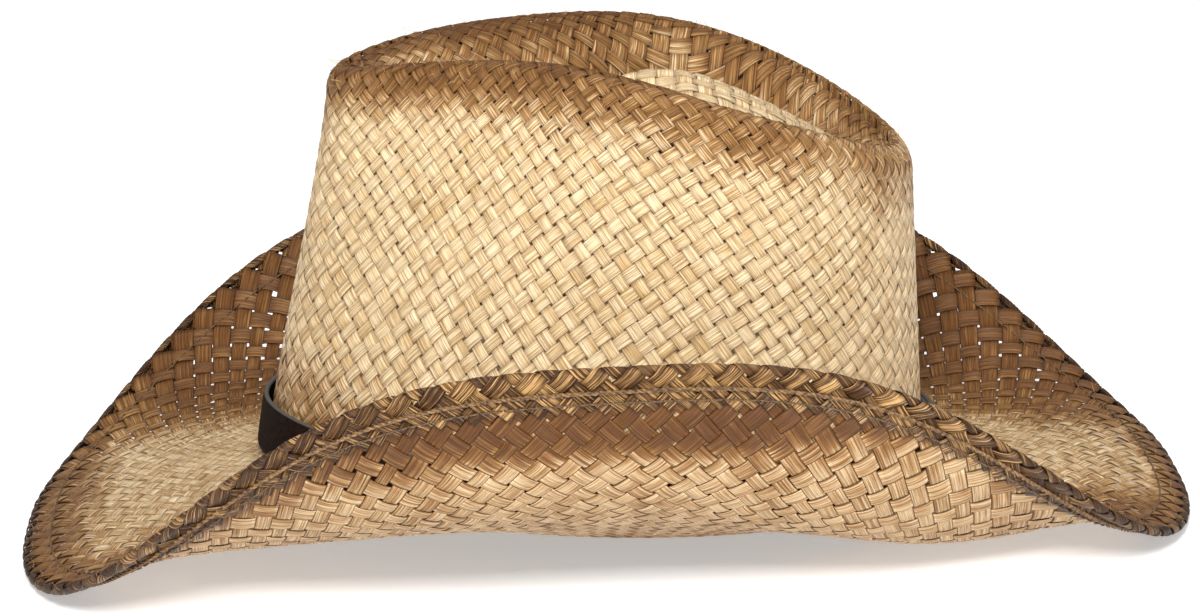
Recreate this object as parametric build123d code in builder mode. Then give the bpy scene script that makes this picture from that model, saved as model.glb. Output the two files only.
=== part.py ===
"""Woven straw cowboy hat with a wired brim rolled up at the sides and a loose leather hatband.

Millimetres. Front of the hat -X, wearer's left -Y, +Z up. The origin is on the ground under the
middle of the brim, with the hat standing on the front and back dips of its brim.

Every shell is a radial profile carried round a vertical axis. The profiles are drawn in planes
through the axis, as (distance from the axis, height).
"""

import os
from math import cos, hypot, pi, radians, sin, sqrt, tanh

from build123d import *

# Brim: plan outline |x/a|^n + |y/b|^n = 1, and the height that its edge is rolled up to.
BRIM_LENGTH = 370.0
BRIM_WIDTH = 288.8
BRIM_SQUARENESS = 2.77
EDGE_LOW = 2.2  # height of the edge at the front and back dips
SIDE_RISE = 78.2  # mean height gained by the edge at the sides
SIDE_RISE_SKEW = 5.2  # the left side is rolled this much higher, the right this much lower
ROLL_FLATNESS = 3.18
ROLL_POWER = 1.72
ROLL_POWER_SKEW = 0.37
SLOPE_AT_BREAK = -4.0
SLOPE_AT_BREAK_BACKWARD = 8.0  # down in front, slightly up behind
SLOPE_AT_BREAK_SIDES = 28.0  # and up at the sides
SLOPE_AT_DIP = -22.0
SLOPE_AT_SIDE = 82.0
SIDE_SAG = 2.0
SIDE_SAG_BACKWARD = 0.8
QUARTER_SAG = 6.0
QUARTER_SAG_BACKWARD = 0.6

# Crown: an oval that fits the head, tapering to a ridge that is narrow in front.
HEAD_LENGTH = 208.0
HEAD_WIDTH = 174.0
HEAD_X = -2.0
BREAK_Z = 16.2  # height of the line where the crown meets the brim
BREAK_TILT = 8.5  # higher by this much in front and lower by it behind
CROWN_AXIS_X = 30.0
RIDGE_LENGTH = 182.0
RIDGE_X = 10.5
RIDGE_HALF_WIDTH = 59.0
RIDGE_FLARE = 23.0
RIDGE_FLARE_RATE = 2.2
RIDGE_TOP_Z = 153.5
RIDGE_TOP_X = -28.0
RIDGE_FALL = 0.00245
RIDGE_ROUND = 6.0
CREASE_AT = 0.66  # share of the way from the axis to the ridge
CREASE_AT_BACKWARD = 0.13  # nearer the ridge by this share behind, and the axis in front
HUMP_DEPTH = 5.0

# Thicknesses and trims.
STRAW = 1.6
GAP = 0.05
WIRE_R = 0.6
SLEEVE_R = 1.0
SLEEVE_LENGTH = 14.0
HEM_WALL = 0.8
HEM_WIDTH = 12.5
CORD_R = 0.7
THREAD_R = 0.35
SWEATBAND_HEIGHT = 32.0
SWEATBAND_THICK = 1.2
SWEATBAND_GAP = 0.3
TAB_WIDTH = 16.0
TAB_THICK = 0.8
HATBAND_WIDTH = 16.5
HATBAND_THICK = 1.8
HATBAND_GAP = 1.2
LAP_LENGTH = 44.0
RIVET_SPACING = 24.0
RIVET_HEAD_R = 3.6
RIVET_SHANK_R = 1.4

# Degrees from one radial profile to the next, where pieces lie close together and elsewhere.
FINE_STEP = 6
STEP = 12


def oval_radius(angle, axis_x):
    """Distance from the axis at axis_x to the head oval, along angle."""
    a, b = HEAD_LENGTH / 2, HEAD_WIDTH / 2
    shift = axis_x - HEAD_X
    square = (cos(angle) / a) ** 2 + (sin(angle) / b) ** 2
    linear = 2 * shift * cos(angle) / a**2
    constant = (shift / a) ** 2 - 1
    return (sqrt(linear**2 - 4 * square * constant) - linear) / (2 * square)


def break_height(x):
    return BREAK_Z - BREAK_TILT * (x - HEAD_X) / (HEAD_LENGTH / 2)


def bezier(points, s):
    """Point at s on the cubic with these four control points."""
    weights = ((1 - s) ** 3, 3 * s * (1 - s) ** 2, 3 * s**2 * (1 - s), s**3)
    return tuple(sum(w * p[i] for w, p in zip(weights, points)) for i in (0, 1))


def brim_point(angle, s):
    """Middle of the brim's thickness, from the break at s = 0 to the edge at s = 1."""
    a, b, n = BRIM_LENGTH / 2, BRIM_WIDTH / 2, BRIM_SQUARENESS
    edge_r = ((abs(cos(angle)) / a) ** n + (abs(sin(angle)) / b) ** n) ** (-1 / n)
    along = min(1.0, edge_r * abs(cos(angle)) / a)
    power = ROLL_POWER - ROLL_POWER_SKEW * sin(angle)
    rolled = max(0.0, 1 - along**ROLL_FLATNESS) ** power
    edge_z = EDGE_LOW + (SIDE_RISE - SIDE_RISE_SKEW * sin(angle)) * rolled
    inner_r = oval_radius(angle, 0)
    inner_z = break_height(inner_r * cos(angle))
    steep = rolled * (1 - SIDE_RISE_SKEW / SIDE_RISE * sin(angle))
    start_slope = SLOPE_AT_BREAK + SLOPE_AT_BREAK_BACKWARD * cos(angle)
    start = radians(start_slope + SLOPE_AT_BREAK_SIDES * sin(angle) ** 2)
    end = radians(SLOPE_AT_DIP + (SLOPE_AT_SIDE - SLOPE_AT_DIP) * steep)
    chord = hypot(edge_r - inner_r, edge_z - inner_z)
    first = (inner_r + 0.38 * chord * cos(start), inner_z + 0.38 * chord * sin(start))
    last = (edge_r - 0.44 * chord * cos(end), edge_z - 0.44 * chord * sin(end))
    r, z = bezier(((inner_r, inner_z), first, last, (edge_r, edge_z)), s)
    sag = SIDE_SAG * abs(sin(angle)) * (1 + SIDE_SAG_BACKWARD * cos(angle))
    sag += QUARTER_SAG * sin(2 * angle) ** 2 * (1 + QUARTER_SAG_BACKWARD * cos(angle))
    return r, z - sag * sin(pi * s) ** 2


def ridge_radius(angle):
    """Distance from the crown's axis to the ridge: an egg, wide behind and pinched in front."""
    low, high = 0.0, pi
    turn = abs(angle - 2 * pi) if angle > pi else angle
    for _ in range(40):
        middle = (low + high) / 2
        x = RIDGE_X + RIDGE_LENGTH / 2 * cos(middle) - CROWN_AXIS_X
        y = (RIDGE_HALF_WIDTH + RIDGE_FLARE * tanh(RIDGE_FLARE_RATE * cos(middle))) * sin(middle)
        if x * sin(turn) - y * cos(turn) > 0:
            low = middle
        else:
            high = middle
    return hypot(x, y)


def ridge_height(x):
    return RIDGE_TOP_Z - RIDGE_FALL * (x - RIDGE_TOP_X) ** 2


def crown_wall_point(angle, s):
    """Middle of the crown's side wall, from the break at s = 0 to the ridge's rounding at 1."""
    base_r = oval_radius(angle, CROWN_AXIS_X)
    base_z = break_height(CROWN_AXIS_X + base_r * cos(angle))
    top_r = ridge_radius(angle)
    top_z = ridge_height(CROWN_AXIS_X + top_r * cos(angle)) - RIDGE_ROUND
    lean = 0.25 * (base_r - top_r)
    third = (top_z - base_z) / 3
    points = ((base_r, base_z), (base_r - lean, base_z + third))
    points += ((top_r + lean, top_z - third), (top_r, top_z))
    return bezier(points, s)


def crease_share(angle):
    return CREASE_AT + CREASE_AT_BACKWARD * cos(angle)


def crown_tip_point(angle, share):
    """Middle of the crown's top, from the axis at 0 to the inside of the ridge at 1."""
    ridge_r = ridge_radius(angle) - RIDGE_ROUND
    crease = 22 - 8 * cos(angle) - 5 * cos(2 * angle)
    lowest = crease_share(angle)
    if share < lowest:
        depth = HUMP_DEPTH + (crease - HUMP_DEPTH) * (1 - cos(pi * share / lowest)) / 2
    else:
        depth = crease * (1 + cos(pi * (share - lowest) / (1 - lowest))) / 2
    # The rounded ridge starts from where it is highest, over the inside of the wall.
    x = CROWN_AXIS_X + share * (ridge_r + RIDGE_ROUND * share) * cos(angle)
    return share * ridge_r, ridge_height(x) - depth


def ridge_rounding_point(angle, turn):
    """Quarter round from the wall at turn = 0 to the top at 90 degrees."""
    ridge_r = ridge_radius(angle)
    height = ridge_height(CROWN_AXIS_X + ridge_r * cos(angle)) - RIDGE_ROUND
    inner = ridge_r - RIDGE_ROUND
    return inner + RIDGE_ROUND * cos(turn), height + RIDGE_ROUND * sin(turn)


def offset_point(curve, angle, s, distance):
    """Point of a curve moved along its own normal, outwards or upwards."""
    small = 1e-4
    before, after = curve(angle, s - small), curve(angle, s + small)
    across, up = after[0] - before[0], after[1] - before[1]
    length = hypot(across, up)
    r, z = curve(angle, s)
    return r - distance * up / length, z + distance * across / length


def share_at(curve, angle, distance, start=0.0, end=1.0):
    """The s at which a curve has run this far from start towards end."""
    steps = 200
    run, last = 0.0, curve(angle, start)
    for i in range(1, steps + 1):
        s = start + (end - start) * i / steps
        point = curve(angle, s)
        piece = hypot(point[0] - last[0], point[1] - last[1])
        if run + piece >= distance:
            return s - (end - start) / steps * (1 - (distance - run) / piece)
        run, last = run + piece, point
    return end


def in_from_edge(angle, distance, height):
    """Point this far in from the brim's edge along the brim, and this far above its middle."""
    s = share_at(brim_point, angle, distance, 1.0, 0.0)
    return offset_point(brim_point, angle, s, height)


def up_the_wall(angle, distance, outward):
    """Point this far up the crown's wall from the break, and this far outside its middle."""
    s = share_at(crown_wall_point, angle, abs(distance))
    r, z = offset_point(crown_wall_point, angle, s if distance > 0 else 0.0, -outward)
    return r, z + min(distance, 0.0)


def draw_strip(upper, lower):
    """Closed profile of a strip between two rows of points that run the same way."""
    Spline(*upper)
    Line(upper[-1], lower[-1])
    Spline(*reversed(lower))
    Line(lower[0], upper[0])


def radial_plane(angle, axis_x):
    return Plane(
        origin=(axis_x, 0, 0),
        x_dir=(cos(angle), sin(angle), 0),
        z_dir=(sin(angle), -cos(angle), 0),
    )


def carry_round(axis_x, draw_profile, start=0, end=360, step=FINE_STEP):
    """Loft a radial profile round the axis. A whole ring is two half turns, joined."""
    halves = ((0, 180), (180, 360)) if end - start == 360 else ((start, end),)
    with BuildPart() as ring:
        for low, high in halves:
            steps = max(2, round((high - low) / step))
            for i in range(steps + 1):
                angle = radians(low + (high - low) * i / steps)
                with BuildSketch(radial_plane(angle, axis_x)):
                    with BuildLine():
                        draw_profile(angle)
                    make_face()
            loft()
    return ring.part


def loop_of(radius, axis_x, centre, start=0, end=360):
    """Wire or thread, eight-sided, carried round the axis by its centre in each radial plane."""

    def draw_eight_sides(angle):
        r, z = centre(angle)
        turns = [2 * pi * (i + 0.5) / 8 for i in range(8)]
        Polyline(*[(r + radius * cos(t), z + radius * sin(t)) for t in turns], close=True)

    return carry_round(axis_x, draw_eight_sides, start, end)


def save(part, label):
    part.label = label
    export_step(part, f"parts/{label}.step")


os.makedirs("parts", exist_ok=True)


# Brim: the flat-woven straw skirt, stopping short of the wired edge.
BRIM_STOP = 3.1  # the straw stops this far short of the folded edge


def draw_brim(angle):
    rim = share_at(brim_point, angle, BRIM_STOP, 1.0, 0.0)
    shares = [rim * i / 8 for i in range(9)]
    upper = [offset_point(brim_point, angle, s, STRAW / 2) for s in shares]
    lower = [offset_point(brim_point, angle, s, -STRAW / 2) for s in shares]
    draw_strip(upper, lower)


save(carry_round(0, draw_brim), "brim_shell")

# Hem: the brim's edge turned under over the wire and laid back against the underside.
CHANNEL_R = SLEEVE_R + 2 * GAP
NOSE_R = CHANNEL_R + HEM_WALL
NOSE_DOWN = NOSE_R - STRAW / 2  # the fold's centre is this far below the middle of the brim


def draw_hem(angle):
    def at(inward, height):
        return in_from_edge(angle, inward, height)

    def around(radius, turn):
        return at(NOSE_R - radius * cos(radians(turn)), radius * sin(radians(turn)) - NOSE_DOWN)

    top = -STRAW / 2 - 2 * GAP
    end = BRIM_STOP - 2 * GAP
    outer = [at(end, STRAW / 2)] + [around(NOSE_R, turn) for turn in (60, 0, -60)]
    outer += [at(4.0, top - 1.6), at(6.5, top - 1.1), at(HEM_WIDTH, top - 1.0)]
    inner = [at(HEM_WIDTH, top), at(6.5, top), at(4.6, top - 0.1)]
    inner += [around(CHANNEL_R, turn) for turn in (-100, -50, 0, 50)]
    inner += [at(end, STRAW / 2 - HEM_WALL)]
    Spline(*outer)
    Line(outer[-1], inner[0])
    Spline(*inner)
    Line(inner[-1], outer[0])


save(carry_round(0, draw_hem), "brim_hem")


# Wire: one springy loop inside the fold, its ends butted inside a crimped sleeve at the back.
def wire_centre(angle):
    return in_from_edge(angle, NOSE_R, -NOSE_DOWN)


WIRE_END_ANGLE = 0.2  # degrees from the back of the brim to each end of the wire
save(loop_of(WIRE_R, 0, wire_centre, WIRE_END_ANGLE, 360 - WIRE_END_ANGLE), "brim_wire")

sleeve_turn = SLEEVE_LENGTH / BRIM_LENGTH * 180 / pi
with BuildPart() as wire_splice:
    add(loop_of(SLEEVE_R, 0, wire_centre, -sleeve_turn, sleeve_turn))
    add(loop_of(WIRE_R + GAP, 0, wire_centre, -sleeve_turn, sleeve_turn), mode=Mode.SUBTRACT)
save(wire_splice.part, "wire_splice")


# A twisted straw cord and a row of machine stitching hold the hem down from below.
def hem_cord_centre(angle):
    return in_from_edge(angle, 7.5, -STRAW / 2 - 1.1 - 5 * GAP - CORD_R)


def hem_stitch_centre(angle):
    return in_from_edge(angle, 11.0, -STRAW / 2 - 1.1 - 5 * GAP - THREAD_R)


save(loop_of(CORD_R, 0, hem_cord_centre), "hem_cord")
save(loop_of(THREAD_R, 0, hem_stitch_centre), "hem_stitching")

# Crown: side wall, rounded ridge and creased top in one woven shell.
CROWN_SEAT = 1.5  # the wall starts this far above the middle of the brim
START_R = 6.0


def draw_crown(angle):
    start = share_at(crown_wall_point, angle, CROWN_SEAT)
    walls = [start + (1 - start) * i / 5 for i in range(6)]
    turns = [radians(a) for a in (30, 60, 90)]
    ring = START_R / (ridge_radius(angle) - RIDGE_ROUND)
    lowest = crease_share(angle)
    tops = [lowest + (1 - lowest) * part for part in (0.7, 0.35, 0)]
    tops += [0.73 * lowest, 0.45 * lowest, ring]
    outer, inner = [], []
    for side, row in ((STRAW / 2, outer), (-STRAW / 2, inner)):
        row += [offset_point(crown_wall_point, angle, s, -side) for s in walls]
        row += [offset_point(ridge_rounding_point, angle, t, -side) for t in turns]
        row += [offset_point(crown_tip_point, angle, s, side) for s in tops]
    draw_strip(outer, inner)


crown = carry_round(CROWN_AXIS_X, draw_crown, step=STEP)
# The weave starts from a small thicker rosette in the middle of the top.
fall = -2 * RIDGE_FALL * (CROWN_AXIS_X - RIDGE_TOP_X)
tip_z = ridge_height(CROWN_AXIS_X) - HUMP_DEPTH
with BuildPart() as crown_shell:
    add(crown)
    with BuildSketch(Plane(origin=(CROWN_AXIS_X, 0, tip_z), z_dir=(-fall, 0, 1))):
        Circle(START_R + 2)
    extrude(amount=STRAW / 2 + 0.4, both=True)
save(crown_shell.part, "crown_shell")


# Sweatband: cloth band sewn in at the break and standing up against the inside of the crown.
def draw_sweatband(angle):
    outside = -STRAW / 2 - SWEATBAND_GAP
    heights = [1 + SWEATBAND_HEIGHT * i / 4 for i in range(5)]
    outer = [up_the_wall(angle, h, outside) for h in heights]
    inner = [up_the_wall(angle, h, outside - SWEATBAND_THICK) for h in heights]
    draw_strip(outer, inner)


save(carry_round(CROWN_AXIS_X, draw_sweatband, step=STEP), "sweatband")


# The sweatband's two ends are covered by a sewn tab at the back.
def draw_tab(angle):
    outside = -STRAW / 2 - SWEATBAND_GAP - SWEATBAND_THICK - GAP
    heights = [3 + (SWEATBAND_HEIGHT - 4) * i / 4 for i in range(5)]
    outer = [up_the_wall(angle, h, outside) for h in heights]
    inner = [up_the_wall(angle, h, outside - TAB_THICK) for h in heights]
    draw_strip(outer, inner)


back_radius = oval_radius(0, CROWN_AXIS_X)
tab_turn = TAB_WIDTH / 2 / back_radius * 180 / pi
save(carry_round(CROWN_AXIS_X, draw_tab, -tab_turn, tab_turn), "sweatband_tab")


# Stitching along the sweatband's lower edge, where it is sewn to the break.
def sweatband_stitch_centre(angle):
    inside = -STRAW / 2 - SWEATBAND_GAP - SWEATBAND_THICK - GAP - THREAD_R
    return up_the_wall(angle, 2.2, inside)


save(loop_of(THREAD_R, CROWN_AXIS_X, sweatband_stitch_centre), "sweatband_stitching")

# Hatband: leather strap lying loosely round the foot of the crown, its ends lapped at the back.
BAND_INSIDE = STRAW / 2 + HATBAND_GAP
BAND_FOOT = 3.0


def draw_hatband(angle):
    heights = [BAND_FOOT + HATBAND_WIDTH * i / 3 for i in range(4)]
    inner = [up_the_wall(angle, h, BAND_INSIDE) for h in heights]
    outer = [up_the_wall(angle, h, BAND_INSIDE + HATBAND_THICK) for h in heights]
    draw_strip(inner, outer)


def draw_lap(angle):
    heights = [BAND_FOOT + 0.6 + (HATBAND_WIDTH - 1.2) * i / 3 for i in range(4)]
    inner = [up_the_wall(angle, h, BAND_INSIDE + HATBAND_THICK / 2) for h in heights]
    outer = [up_the_wall(angle, h, BAND_INSIDE + 2 * HATBAND_THICK) for h in heights]
    draw_strip(inner, outer)


lap_turn = LAP_LENGTH / 2 / back_radius * 180 / pi
band_ring = carry_round(CROWN_AXIS_X, draw_hatband, step=STEP)
lap = carry_round(CROWN_AXIS_X, draw_lap, -lap_turn, lap_turn)


def rivet_plane(side, outward):
    """Plane square to the band at a rivet, this far outside the middle of the crown's wall."""
    angle = radians(side * RIVET_SPACING / 2 / back_radius * 180 / pi)
    middle = BAND_FOOT + HATBAND_WIDTH / 2
    r, z = up_the_wall(angle, middle, outward)
    centre = Vector(CROWN_AXIS_X + r * cos(angle), r * sin(angle), z)
    inner_r, inner_z = up_the_wall(angle, middle, outward - 1)
    bend = side * RIVET_SPACING / 2 * HEAD_LENGTH / 2 / (HEAD_WIDTH / 2) ** 2
    normal = Vector((r - inner_r) * cos(bend), (r - inner_r) * sin(bend), z - inner_z)
    return Plane(origin=centre, z_dir=normal)


with BuildPart() as hatband_strap:
    add(band_ring)
    add(lap)
    for side in (-1, 1):
        with BuildSketch(rivet_plane(side, BAND_INSIDE - 1)):
            Circle(RIVET_SHANK_R + GAP)
        extrude(amount=2 * HATBAND_THICK + 2, mode=Mode.SUBTRACT)
save(hatband_strap.part, "hatband_strap")

# Two domed rivets hold the lap: a shank through both layers, a dome outside and a burr inside.
BURR_THICK = 0.5
HEAD_HEIGHT = 1.3
HEAD_STAND = 0.15  # the flat heads stand this far off the curved leather
with BuildPart() as hatband_rivets:
    for side in (-1, 1):
        with BuildSketch(rivet_plane(side, BAND_INSIDE - HEAD_STAND - BURR_THICK)):
            Circle(RIVET_HEAD_R - 1)
        extrude(amount=BURR_THICK)
        with BuildSketch(rivet_plane(side, BAND_INSIDE - HEAD_STAND - BURR_THICK)):
            Circle(RIVET_SHANK_R)
        extrude(amount=2 * HATBAND_THICK + 2 * HEAD_STAND + BURR_THICK + 0.1)
        with BuildSketch(rivet_plane(side, BAND_INSIDE + 2 * HATBAND_THICK + HEAD_STAND)):
            Circle(RIVET_HEAD_R)
        extrude(amount=HEAD_HEIGHT, taper=30)
save(hatband_rivets.part, "hatband_rivets")
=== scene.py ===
"""Looks of the woven straw cowboy hat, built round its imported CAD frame.

Shapes are worked out in millimetres in the frame's own axes (front of the hat -X, wearer's left -Y,
up +Z) and put into the meshes in metres. Angles run anticlockwise seen from above, from the back.
"""

from math import cos, radians, sin

import bpy
import numpy as np
from mathutils import Matrix, Vector


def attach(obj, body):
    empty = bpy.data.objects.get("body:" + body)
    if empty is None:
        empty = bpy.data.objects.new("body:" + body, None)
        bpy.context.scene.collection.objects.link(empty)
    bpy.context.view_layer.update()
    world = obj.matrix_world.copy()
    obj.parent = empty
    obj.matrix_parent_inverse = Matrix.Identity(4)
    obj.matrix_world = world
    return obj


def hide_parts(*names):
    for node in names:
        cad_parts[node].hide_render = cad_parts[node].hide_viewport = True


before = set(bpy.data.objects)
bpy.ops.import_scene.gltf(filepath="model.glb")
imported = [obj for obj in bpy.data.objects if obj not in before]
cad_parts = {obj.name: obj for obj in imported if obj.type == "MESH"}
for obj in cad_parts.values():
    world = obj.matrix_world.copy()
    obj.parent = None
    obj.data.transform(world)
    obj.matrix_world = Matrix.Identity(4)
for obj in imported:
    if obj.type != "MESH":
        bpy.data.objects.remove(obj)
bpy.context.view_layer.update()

# ---------------------------------------------------------------------------------------------
# Crown. Flat palm-leaf straws, two lays of them, plaited over one and under one from the middle
# of the top outwards, and pressed over a block that gives the ridge, the crease and the wall.
# ---------------------------------------------------------------------------------------------
HEAD_LENGTH, HEAD_WIDTH, HEAD_X = 208.0, 174.0, -2.0
BREAK_Z, BREAK_TILT = 16.2, 8.5
CROWN_AXIS_X = 30.0
RIDGE_LENGTH, RIDGE_X = 182.0, 10.5
RIDGE_HALF_WIDTH, RIDGE_FLARE, RIDGE_FLARE_RATE = 59, 23, 2.2
RIDGE_TOP_Z, RIDGE_TOP_X, RIDGE_FALL = 153.5, -28, 0.00245
RIDGE_ROUND = 6.0
WALL_LEAN = 0.25  # how far the wall's thirds lean towards the other end's radius
CREASE_DEPTH, CREASE_BACKWARD, CREASE_SIDES = 22, 8, 5
HUMP_DEPTH = 5


def head_oval(angle, axis_x):
    """Distance from an axis to the head oval: the positive root of the ellipse met by a ray."""
    a, b = HEAD_LENGTH / 2, HEAD_WIDTH / 2
    shift = axis_x - HEAD_X
    square = (np.cos(angle) / a) ** 2 + (np.sin(angle) / b) ** 2
    linear = 2 * shift * np.cos(angle) / a**2
    constant = (shift / a) ** 2 - 1
    return (np.sqrt(linear**2 - 4 * square * constant) - linear) / (2 * square)


def break_height(x):
    """The line where crown meets brim falls evenly from front to back."""
    return BREAK_Z - BREAK_TILT * (x - HEAD_X) / (HEAD_LENGTH / 2)


def cubic(points, s):
    """Cubic through the first and last of four (distance, height) points, drawn to the others."""
    weights = ((1 - s) ** 3, 3 * s * (1 - s) ** 2, 3 * s**2 * (1 - s), s**3)
    return tuple(sum(w * p[i] for w, p in zip(weights, points)) for i in (0, 1))


# The ridge outline is an egg, wide behind and pinched in front by a hyperbolic tangent.
egg_turn = np.linspace(0, 2 * np.pi, 1441)
egg_x = RIDGE_X - CROWN_AXIS_X + RIDGE_LENGTH / 2 * np.cos(egg_turn)
egg_flare = RIDGE_FLARE * np.tanh(RIDGE_FLARE_RATE * np.cos(egg_turn))
egg_y = (RIDGE_HALF_WIDTH + egg_flare) * np.sin(egg_turn)
egg_angle = np.unwrap(np.arctan2(egg_y, egg_x))
egg_radius = np.hypot(egg_x, egg_y)


def ridge_radius(angle):
    """Distance from the crown's axis to the ridge, read off the egg at that turn."""
    return np.interp(np.mod(angle, 2 * np.pi), egg_angle, egg_radius)


def ridge_height(x):
    """The ridge is highest near the front and falls away as a parabola."""
    return RIDGE_TOP_Z - RIDGE_FALL * (x - RIDGE_TOP_X) ** 2


def crown_wall(angle, s):
    """Side wall, from the break at 0 to the ridge at 1, as (distance from the axis, height)."""
    base_r = head_oval(angle, CROWN_AXIS_X)
    base_z = break_height(CROWN_AXIS_X + base_r * np.cos(angle))
    top_r = ridge_radius(angle)
    top_z = ridge_height(CROWN_AXIS_X + top_r * np.cos(angle)) - RIDGE_ROUND
    lean, third = WALL_LEAN * (base_r - top_r), (top_z - base_z) / 3
    middle = ((base_r - lean, base_z + third), (top_r + lean, top_z - third))
    return cubic(((base_r, base_z), *middle, (top_r, top_z)), s)


def crease_share(angle):
    """The crease runs nearer the ridge behind and nearer the middle in front."""
    return 0.66 + 0.13 * np.cos(angle)


def crown_tip_height(angle, share):
    """Top of the crown: the ridge's height less a hump in the middle and a crease round it."""
    crease = CREASE_DEPTH - CREASE_BACKWARD * np.cos(angle) - CREASE_SIDES * np.cos(2 * angle)
    lowest = crease_share(angle)
    inside = HUMP_DEPTH + (crease - HUMP_DEPTH) * (1 - np.cos(np.pi * share / lowest)) / 2
    outside = crease * (1 + np.cos(np.pi * (share - lowest) / (1 - lowest))) / 2
    reach = ridge_radius(angle) - RIDGE_ROUND + RIDGE_ROUND * share
    x = CROWN_AXIS_X + share * reach * np.cos(angle)
    return ridge_height(x) - np.where(share < lowest, inside, outside)


def even_angles(radius_of):
    """Angles that cut a closed outline into equal lengths, as a function of the share of it."""
    angle = np.linspace(0, 2 * np.pi, 1441)
    x, y = radius_of(angle) * np.cos(angle), radius_of(angle) * np.sin(angle)
    run = np.concatenate([[0], np.cumsum(np.hypot(np.diff(x), np.diff(y)))])
    run /= run[-1]
    return lambda share: np.interp(np.mod(share, 1), run, angle) + 2 * np.pi * np.floor(share)


ridge_angle = even_angles(lambda angle: ridge_radius(angle) - RIDGE_ROUND)
foot_angle = even_angles(lambda angle: head_oval(angle, CROWN_AXIS_X))
# Length of the wall from ridge to break, for each degree of turn.
wall_turn = np.linspace(0, 2 * np.pi, 361)
wall_r, wall_z = crown_wall(wall_turn[:, None], np.linspace(0, 1, 40)[None])
wall_runs = np.hypot(np.diff(wall_r), np.diff(wall_z)).sum(1)
ROUNDING_RUN = RIDGE_ROUND * np.pi / 2


def wall_length(angle):
    """Length of the wall at any turn, read between the degrees."""
    return np.interp(np.mod(angle, 2 * np.pi), wall_turn, wall_runs)


def depth_below_ridge(rows_down):
    """Millimetres down from the ridge; the plait opens a little on its way down."""
    return (60 + 4 * rows_down) * rows_down


def crown_side_angle(round_, down):
    """Turn of a point, sliding from equal shares of the ridge to equal shares of the foot."""
    quarter = np.round(round_ / 2)
    within = np.clip(round_ - 2 * quarter, -1, 1)
    at_ridge = 1 / 8 + quarter / 4 + np.arcsin(within / np.sqrt(2)) / (2 * np.pi)
    at_foot = 1 / 8 + round_ / 8
    blend = np.clip(down / 1.6, 0, 1)
    share = (1 - blend) * at_ridge + blend * at_foot
    return (1 - blend) * ridge_angle(share) + blend * foot_angle(share)


def crown_side(round_, down):
    """Point on the rounding and the wall: 8 units of round_ go once about, down starts at 0."""
    angle = crown_side_angle(round_, down)
    run = depth_below_ridge(down)
    turn = np.pi / 2 * (1 - np.clip(run / ROUNDING_RUN, 0, 1))
    inner = ridge_radius(angle) - RIDGE_ROUND
    top = ridge_height(CROWN_AXIS_X + inner * np.cos(angle)) - RIDGE_ROUND
    wall_share = 1 - np.clip((run - ROUNDING_RUN) / wall_length(angle), 0, 1.1)
    wall = crown_wall(angle, wall_share)
    on_rounding = run < ROUNDING_RUN
    r = np.where(on_rounding, inner + RIDGE_ROUND * np.cos(turn), wall[0])
    rounding_z = ridge_height(CROWN_AXIS_X + ridge_radius(angle) * np.cos(angle)) - RIDGE_ROUND
    rounding_z = rounding_z + (top - rounding_z) * np.sin(turn) + RIDGE_ROUND * np.sin(turn)
    z = np.where(on_rounding, rounding_z, wall[1])
    return np.stack([CROWN_AXIS_X + r * np.cos(angle), r * np.sin(angle), z], -1)


TIP_CENTRE_X = RIDGE_X
TIP_HALF_LENGTH, TIP_HALF_WIDTH = 84.0, 52.0
ROWS_PER_UNIT = 10


def crown_top(a, b):
    """Point on the whole crown from a square of two units: outside the square is the side."""
    past = np.maximum(np.abs(a), np.abs(b))
    quarter = np.where(np.abs(a) >= np.abs(b), np.where(a > 0, 0, 2), np.where(b > 0, 1, 3))
    along = np.choose(quarter, [b, -a, -b, a])
    side = crown_side(2 * quarter + np.clip(along, -1, 1), np.maximum(past - 1, 0))
    a, b = np.clip(a, -1, 1), np.clip(b, -1, 1)
    c, d = a * np.sqrt(1 - b**2 / 2), b * np.sqrt(1 - a**2 / 2)
    out, turn = np.hypot(c, d), np.arctan2(d, c) + np.pi / 4
    rim_angle = ridge_angle(turn / (2 * np.pi))
    rim_r = ridge_radius(rim_angle) - RIDGE_ROUND
    rim_x = CROWN_AXIS_X + rim_r * np.cos(rim_angle) - TIP_CENTRE_X
    keep = out**2
    x = out * ((1 - keep) * TIP_HALF_LENGTH * np.cos(turn) + keep * rim_x)
    y = out * ((1 - keep) * TIP_HALF_WIDTH * np.sin(turn) + keep * rim_r * np.sin(rim_angle))
    x = x + TIP_CENTRE_X
    angle = np.arctan2(y, x - CROWN_AXIS_X)
    share = np.hypot(x - CROWN_AXIS_X, y) / (ridge_radius(angle) - RIDGE_ROUND)
    top = np.stack([x, y, crown_tip_height(angle, np.minimum(share, 1))], -1)
    return np.where((past > 1)[..., None], side, top)


STRAW_HALF_THICK = 0.15
# Half a straw's rise and fall as it goes over and under: a share of a row's width less a fixed
# amount, held between a lowest and a highest value.
WAVE_SHARE, WAVE_LESS = 0.08, 0.14
WAVE_LOW, WAVE_HIGH = 0.14, 0.4
FLAT_SECTION = np.array([-0.5, -0.42, 0.0, 0.42, 0.5])
rng = np.random.default_rng(7)


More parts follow.
